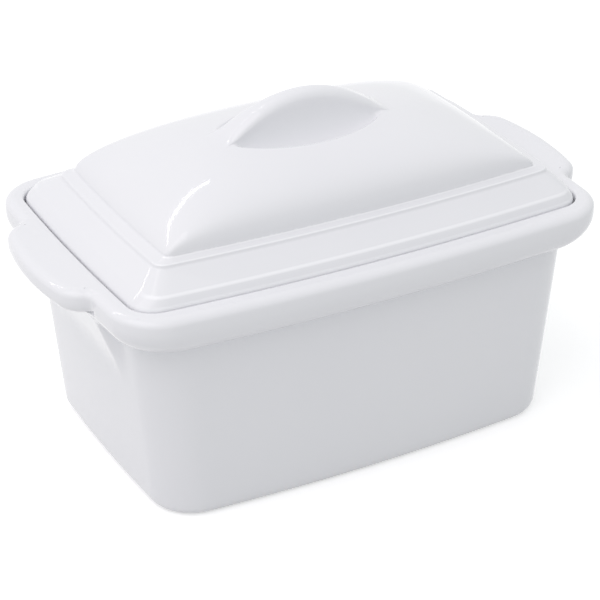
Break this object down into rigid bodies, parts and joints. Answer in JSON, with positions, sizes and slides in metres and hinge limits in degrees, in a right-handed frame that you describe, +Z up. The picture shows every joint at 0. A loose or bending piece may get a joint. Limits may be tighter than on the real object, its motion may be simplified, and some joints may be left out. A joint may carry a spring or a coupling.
{
  "type": "terrine dish",
  "caption": "Deep oblong white porcelain terrine with lug handles on its rolled rim and a domed, stepped lid with a bridge grip between finger recesses.",
  "frame": {"origin": "on the table under the middle of the dish", "axes": "+X along the dish towards one handle, +Y across it, +Z up"},
  "size_m": [0.18, 0.109, 0.109],
  "materials": {
    "white_glaze": "glossy white glaze",
    "white_glaze_lid": "glossy white glaze"
  },
  "bodies": {
    "root": {"dish": "white_glaze", "lid": "white_glaze_lid"}
  },
  "joints": []
}
